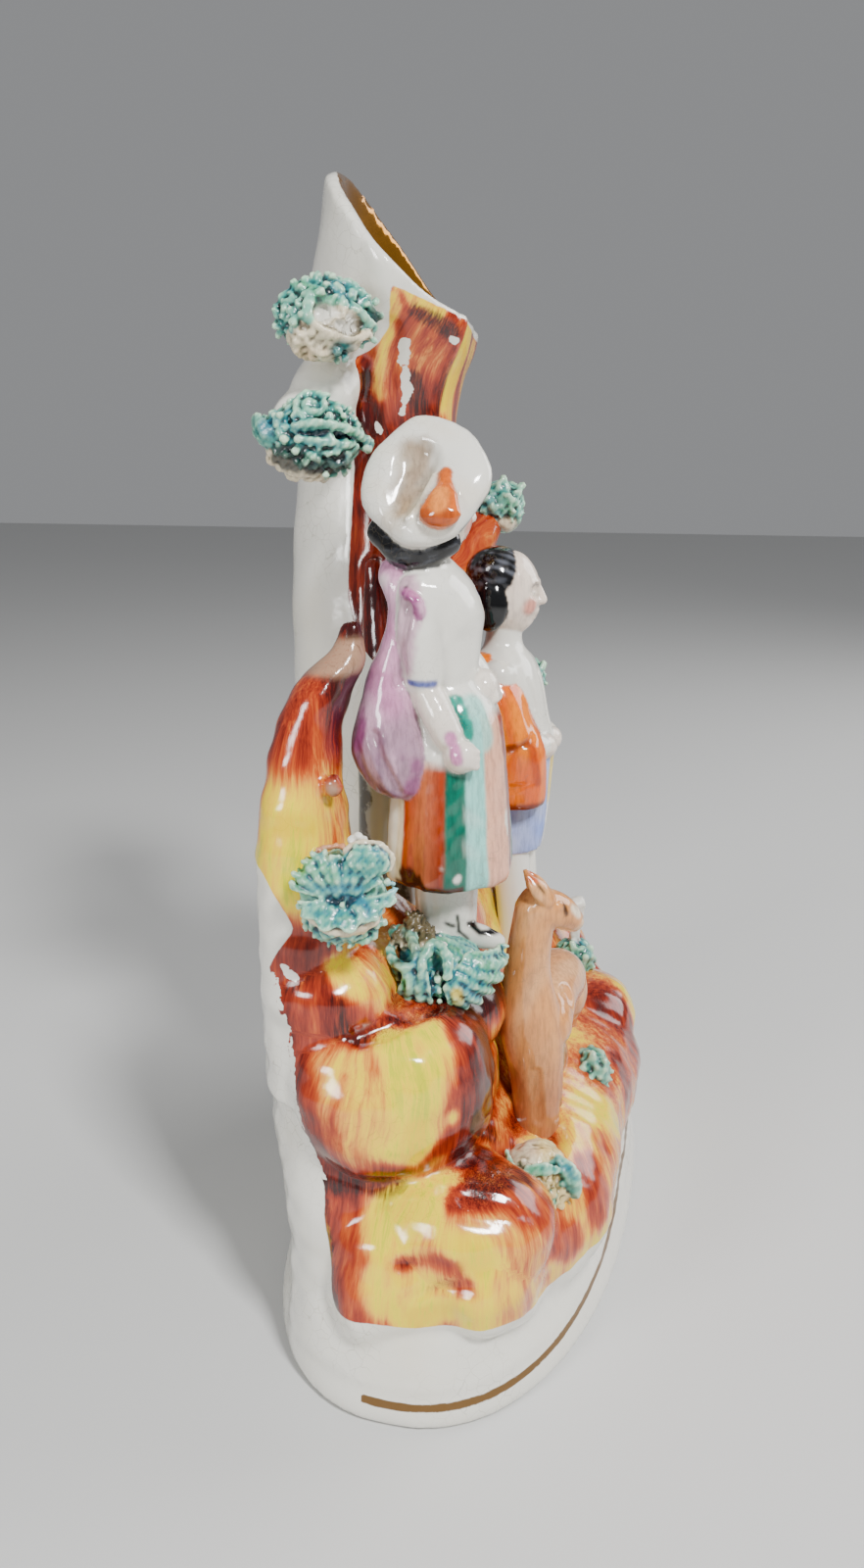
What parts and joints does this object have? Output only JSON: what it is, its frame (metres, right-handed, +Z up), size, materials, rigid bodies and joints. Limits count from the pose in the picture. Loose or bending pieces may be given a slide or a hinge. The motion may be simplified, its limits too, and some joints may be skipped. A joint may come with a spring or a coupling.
{
  "type": "figural spill vase",
  "caption": "Glazed earthenware spill vase: a hollow tree trunk on a rocky oval mound, with a woman in a white hat, a man in a cloak and a doe.",
  "frame": {"origin": "middle of the underside of the oval foot", "axes": "+Z up the trunk; the figures face -Y; +X to the right of someone who faces the figures, so the woman is at -X"},
  "size_m": [0.2, 0.1, 0.285],
  "materials": {
    "glazed_earthenware": "clear gloss lead glaze over a cream body, with painted enamel colours and a little gilding"
  },
  "bodies": {
    "root": {"spill_vase": "glazed_earthenware"}
  },
  "joints": []
}
